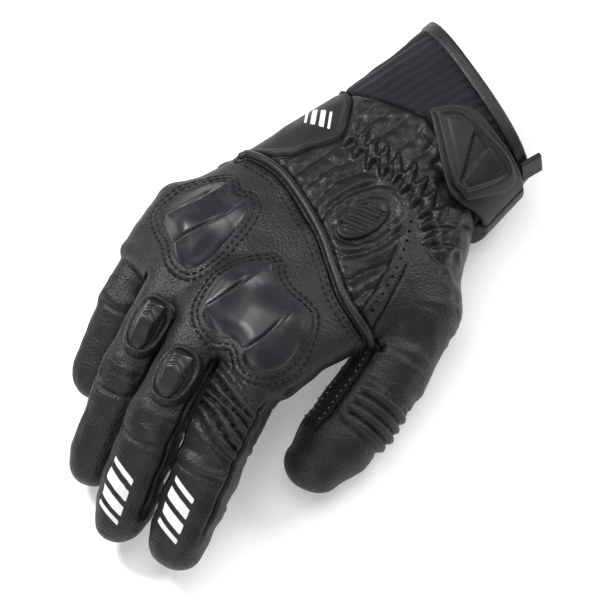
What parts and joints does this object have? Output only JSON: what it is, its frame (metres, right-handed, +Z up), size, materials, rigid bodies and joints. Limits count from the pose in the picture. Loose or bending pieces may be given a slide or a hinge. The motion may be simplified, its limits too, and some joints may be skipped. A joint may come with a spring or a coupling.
{
  "type": "riding glove",
  "caption": "Short-cuff leather riding glove for a right hand, with moulded knuckle armour, finger sliders, stretch ribs and a wrist strap.",
  "frame": {"origin": "middle of the glove's plan box, on the surface it rests on", "axes": "+Z up through the back of the hand, fingers towards -Y, thumb on the +X side, cuff towards +Y"},
  "size_m": [0.1344, 0.2628, 0.0655],
  "materials": {
    "thin_leather": "satin",
    "moulded_armour": "matte",
    "slider_plastic": "satin",
    "slider_frame": "matte",
    "foam": "matte",
    "lining_fabric": "matte",
    "ribbed_neoprene": "matte",
    "strap_rubber": "matte",
    "hook_and_loop": "matte",
    "stretch_leather": "satin",
    "binding_tape": "satin",
    "palm_leather": "satin",
    "piping_leather": "satin",
    "grain_leather": "satin"
  },
  "bodies": {
    "hand": {"knuckle_back_panel": "grain_leather", "wrist_back_panel": "grain_leather", "palm_panel": "palm_leather", "hand_lining": "lining_fabric", "knuckle_piping": "piping_leather", "side_badge_patch": "grain_leather", "palm_heel_patch": "palm_leather", "thumb_saddle": "grain_leather", "finger_base_creases": "thin_leather", "wrist_elastic_back": "ribbed_neoprene", "wrist_elastic_palm": "ribbed_neoprene", "index_middle_knuckle_shell": "moulded_armour", "index_middle_knuckle_foam": "foam", "ring_little_knuckle_shell": "moulded_armour", "ring_little_knuckle_foam": "foam"},
    "cuff": {"cuff_back_panel": "ribbed_neoprene", "cuff_palm_panel": "ribbed_neoprene", "cuff_lining": "lining_fabric", "cuff_binding": "binding_tape", "cuff_pull_tab": "binding_tape", "strap_loop_patch": "hook_and_loop", "strap_anchor": "grain_leather"},
    "strap": {"strap_leather": "grain_leather", "strap_grip_moulding": "strap_rubber", "strap_hook_patch": "hook_and_loop"},
    "index_lower": {"index_back_lower": "grain_leather", "index_palm_lower": "palm_leather", "index_knuckle_crease": "thin_leather", "index_stretch_ribs": "stretch_leather"},
    "index_tip": {"index_back_tip": "grain_leather", "index_palm_tip": "palm_leather"},
    "middle_lower": {"middle_back_lower": "grain_leather", "middle_palm_lower": "palm_leather", "middle_knuckle_crease": "thin_leather", "middle_slider_base": "slider_frame", "middle_knuckle_slider": "slider_plastic"},
    "middle_tip": {"middle_back_tip": "grain_leather", "middle_palm_tip": "palm_leather"},
    "ring_lower": {"ring_back_lower": "grain_leather", "ring_palm_lower": "palm_leather", "ring_knuckle_crease": "thin_leather", "ring_slider_base": "slider_frame", "ring_knuckle_slider": "slider_plastic"},
    "ring_tip": {"ring_back_tip": "grain_leather", "ring_palm_tip": "palm_leather"},
    "little_lower": {"little_back_lower": "grain_leather", "little_palm_lower": "palm_leather", "little_knuckle_crease": "thin_leather"},
    "little_tip": {"little_back_tip": "grain_leather", "little_palm_tip": "palm_leather"},
    "thumb_lower": {"thumb_back_lower": "grain_leather", "thumb_palm_lower": "palm_leather", "thumb_knuckle_crease": "thin_leather", "thumb_stretch_ribs": "stretch_leather"},
    "thumb_tip": {"thumb_back_tip": "grain_leather", "thumb_palm_tip": "palm_leather"}
  },
  "joints": [
    {"name": "index_base_curl", "type": "hinge", "parent": "hand", "child": "index_lower", "pos_m": [0.0118, -0.05724, 0.04092], "axis": [1, 0, 0], "range_deg": [-8, 30], "deforming": ["finger_base_creases"]},
    {"name": "index_middle_curl", "type": "hinge", "parent": "index_lower", "child": "index_tip", "pos_m": [0.0118, -0.07924, 0.03642], "axis": [1, 0, 0], "range_deg": [-10, 45], "deforming": ["index_knuckle_crease"]},
    {"name": "middle_base_curl", "type": "hinge", "parent": "hand", "child": "middle_lower", "pos_m": [-0.0146, -0.05124, 0.0425], "axis": [1, 0, 0], "range_deg": [-8, 30], "deforming": ["finger_base_creases"]},
    {"name": "middle_middle_curl", "type": "hinge", "parent": "middle_lower", "child": "middle_tip", "pos_m": [-0.0146, -0.08324, 0.0385], "axis": [1, 0, 0], "range_deg": [-10, 45], "deforming": ["middle_knuckle_crease"]},
    {"name": "ring_base_curl", "type": "hinge", "parent": "hand", "child": "ring_lower", "pos_m": [-0.0377, -0.03574, 0.03824], "axis": [1, 0, 0], "range_deg": [-8, 30], "deforming": ["finger_base_creases"]},
    {"name": "ring_middle_curl", "type": "hinge", "parent": "ring_lower", "child": "ring_tip", "pos_m": [-0.0377, -0.06774, 0.03324], "axis": [1, 0, 0], "range_deg": [-10, 45], "deforming": ["ring_knuckle_crease"]},
    {"name": "little_base_curl", "type": "hinge", "parent": "hand", "child": "little_lower", "pos_m": [-0.0581, -0.01924, 0.02772], "axis": [1, 0, 0], "range_deg": [-8, 30], "deforming": ["finger_base_creases"]},
    {"name": "little_middle_curl", "type": "hinge", "parent": "little_lower", "child": "little_tip", "pos_m": [-0.0581, -0.03924, 0.02222], "axis": [1, 0, 0], "range_deg": [-10, 45], "deforming": ["little_knuckle_crease"]},
    {"name": "thumb_base_curl", "type": "hinge", "parent": "hand", "child": "thumb_lower", "pos_m": [0.0518, -0.01224, 0.0195], "axis": [0.9662, -0.0667, -0.249], "range_deg": [-8, 6], "deforming": ["finger_base_creases"]},
    {"name": "thumb_middle_curl", "type": "hinge", "parent": "thumb_lower", "child": "thumb_tip", "pos_m": [0.0493, -0.03724, 0.0165], "axis": [0.9662, -0.0667, -0.249], "range_deg": [-8, 12], "deforming": ["thumb_knuckle_crease"]},
    {"name": "wrist_flex", "type": "hinge", "parent": "hand", "child": "cuff", "pos_m": [0.01607, 0.05654, 0.024], "axis": [0.866, -0.5, 0], "range_deg": [-20, 20], "deforming": ["wrist_elastic_back", "wrist_elastic_palm"]},
    {"name": "strap_peel", "type": "hinge", "parent": "cuff", "child": "strap", "pos_m": [0.05851, 0.06783, 0.025], "axis": [0.25, 0.9683, 0], "range_deg": [0, 90]}
  ]
}
